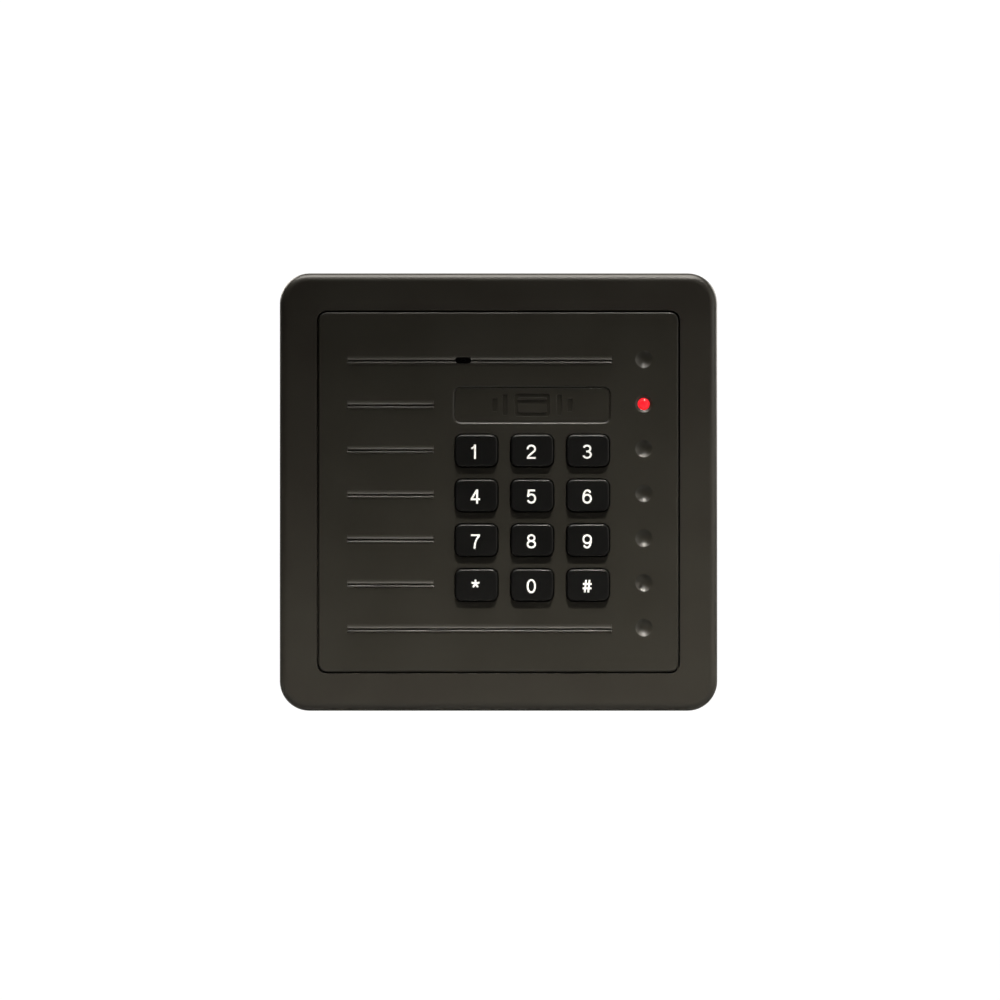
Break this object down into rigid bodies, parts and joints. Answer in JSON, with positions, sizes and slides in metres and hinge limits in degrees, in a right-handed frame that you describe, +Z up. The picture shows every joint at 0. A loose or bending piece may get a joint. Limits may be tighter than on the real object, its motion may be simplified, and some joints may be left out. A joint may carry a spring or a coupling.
{
  "type": "keypad access reader",
  "caption": "Square surface-mounted access reader: charcoal case, framed ribbed face panel with a keypad, round dimples and a red lamp, hooked on a wall plate.",
  "frame": {"origin": "centre of the electrical-box slots, in the plane of the wall", "axes": "+X right, +Z up, the front faces -Y, +Y into the wall"},
  "size_m": [0.127, 0.027, 0.127],
  "materials": {
    "case_plastic": "fine spark-eroded moulding texture, charcoal",
    "panel_plastic": "fine spark-eroded moulding texture, charcoal",
    "cover_plastic": "moulded, satin",
    "key_plastic": "satin moulded cap with printed legend",
    "plate_steel": "zinc plated pressed steel",
    "insert_brass": "turned brass",
    "clamp_brass": "pressed brass, bright",
    "screw_steel": "zinc plated",
    "lock_steel": "stainless steel",
    "seal_rubber": "closed-cell sponge strip",
    "lens_red": "clear red light pipe, lit",
    "led_epoxy": "water-clear epoxy",
    "buzzer_plastic": "moulded sounder case",
    "silicone": "moulded silicone",
    "board_laminate": "green solder mask on glass laminate",
    "former_nylon": "natural nylon",
    "coil_copper": "enamelled copper wire, wound",
    "chip_epoxy": "moulded epoxy",
    "capacitor_can": "drawn can",
    "crystal_can": "drawn can",
    "ceramic_chip": "fired ceramic",
    "link_plastic": "moulded",
    "terminal_nylon": "moulded green nylon",
    "plunger_acetal": "turned acetal",
    "pill_carbon": "carbon-loaded silicone"
  },
  "bodies": {
    "wall_mount": {"mounting_plate": "plate_steel", "lug_insert": "insert_brass"},
    "reader": {"front_frame": "case_plastic", "face_panel": "panel_plastic", "label_plate": "panel_plastic", "panel_screws": "screw_steel", "rear_cover": "cover_plastic", "cover_screws": "screw_steel", "cover_seal": "seal_rubber", "led_lens": "lens_red", "status_led": "led_epoxy", "buzzer": "buzzer_plastic", "keypad_mat": "silicone", "keypad_board": "board_laminate", "keypad_screws": "screw_steel", "main_board": "board_laminate", "main_board_screws": "screw_steel", "antenna_former": "former_nylon", "antenna_coil": "coil_copper", "microcontroller": "chip_epoxy", "reader_chip": "chip_epoxy", "regulator": "chip_epoxy", "capacitors": "capacitor_can", "crystal": "crystal_can", "small_parts": "ceramic_chip", "board_link": "link_plastic", "terminal_block": "terminal_nylon", "terminal_screws": "screw_steel", "terminal_clamps": "clamp_brass", "tamper_switch": "link_plastic"},
    "tamper_plunger": {"tamper_plunger": "plunger_acetal"},
    "security_screw": {"security_screw": "lock_steel"},
    "key_1": {"key_1": "key_plastic", "pill_1": "pill_carbon"},
    "key_2": {"key_2": "key_plastic", "pill_2": "pill_carbon"},
    "key_3": {"key_3": "key_plastic", "pill_3": "pill_carbon"},
    "key_4": {"key_4": "key_plastic", "pill_4": "pill_carbon"},
    "key_5": {"key_5": "key_plastic", "pill_5": "pill_carbon"},
    "key_6": {"key_6": "key_plastic", "pill_6": "pill_carbon"},
    "key_7": {"key_7": "key_plastic", "pill_7": "pill_carbon"},
    "key_8": {"key_8": "key_plastic", "pill_8": "pill_carbon"},
    "key_9": {"key_9": "key_plastic", "pill_9": "pill_carbon"},
    "key_star": {"key_star": "key_plastic", "pill_star": "pill_carbon"},
    "key_0": {"key_0": "key_plastic", "pill_0": "pill_carbon"},
    "key_hash": {"key_hash": "key_plastic", "pill_hash": "pill_carbon"}
  },
  "joints": [
    {"name": "head_lift", "type": "slide", "parent": "wall_mount", "child": "reader", "axis": [0, 0, 1], "range_m": [0, 0.006]},
    {"name": "tamper_plunger_slide", "type": "slide", "parent": "reader", "child": "tamper_plunger", "axis": [0, 1, 0], "range_m": [0, 0.001]},
    {"name": "security_screw_out", "type": "slide", "parent": "reader", "child": "security_screw", "axis": [0, 0, -1], "range_m": [0, 0.011]},
    {"name": "key_1_press", "type": "slide", "parent": "reader", "child": "key_1", "axis": [0, 1, 0], "range_m": [0, 0.001], "stiffness_N_per_m": 1500, "deforming": ["keypad_mat"]},
    {"name": "key_2_press", "type": "slide", "parent": "reader", "child": "key_2", "axis": [0, 1, 0], "range_m": [0, 0.001], "stiffness_N_per_m": 1500, "deforming": ["keypad_mat"]},
    {"name": "key_3_press", "type": "slide", "parent": "reader", "child": "key_3", "axis": [0, 1, 0], "range_m": [0, 0.001], "stiffness_N_per_m": 1500, "deforming": ["keypad_mat"]},
    {"name": "key_4_press", "type": "slide", "parent": "reader", "child": "key_4", "axis": [0, 1, 0], "range_m": [0, 0.001], "stiffness_N_per_m": 1500, "deforming": ["keypad_mat"]},
    {"name": "key_5_press", "type": "slide", "parent": "reader", "child": "key_5", "axis": [0, 1, 0], "range_m": [0, 0.001], "stiffness_N_per_m": 1500, "deforming": ["keypad_mat"]},
    {"name": "key_6_press", "type": "slide", "parent": "reader", "child": "key_6", "axis": [0, 1, 0], "range_m": [0, 0.001], "stiffness_N_per_m": 1500, "deforming": ["keypad_mat"]},
    {"name": "key_7_press", "type": "slide", "parent": "reader", "child": "key_7", "axis": [0, 1, 0], "range_m": [0, 0.001], "stiffness_N_per_m": 1500, "deforming": ["keypad_mat"]},
    {"name": "key_8_press", "type": "slide", "parent": "reader", "child": "key_8", "axis": [0, 1, 0], "range_m": [0, 0.001], "stiffness_N_per_m": 1500, "deforming": ["keypad_mat"]},
    {"name": "key_9_press", "type": "slide", "parent": "reader", "child": "key_9", "axis": [0, 1, 0], "range_m": [0, 0.001], "stiffness_N_per_m": 1500, "deforming": ["keypad_mat"]},
    {"name": "key_star_press", "type": "slide", "parent": "reader", "child": "key_star", "axis": [0, 1, 0], "range_m": [0, 0.001], "stiffness_N_per_m": 1500, "deforming": ["keypad_mat"]},
    {"name": "key_0_press", "type": "slide", "parent": "reader", "child": "key_0", "axis": [0, 1, 0], "range_m": [0, 0.001], "stiffness_N_per_m": 1500, "deforming": ["keypad_mat"]},
    {"name": "key_hash_press", "type": "slide", "parent": "reader", "child": "key_hash", "axis": [0, 1, 0], "range_m": [0, 0.001], "stiffness_N_per_m": 1500, "deforming": ["keypad_mat"]}
  ],
  "couplings": [
    {"joint": "tamper_plunger_slide", "follows": "head_lift", "ratio": 0.16666}
  ]
}
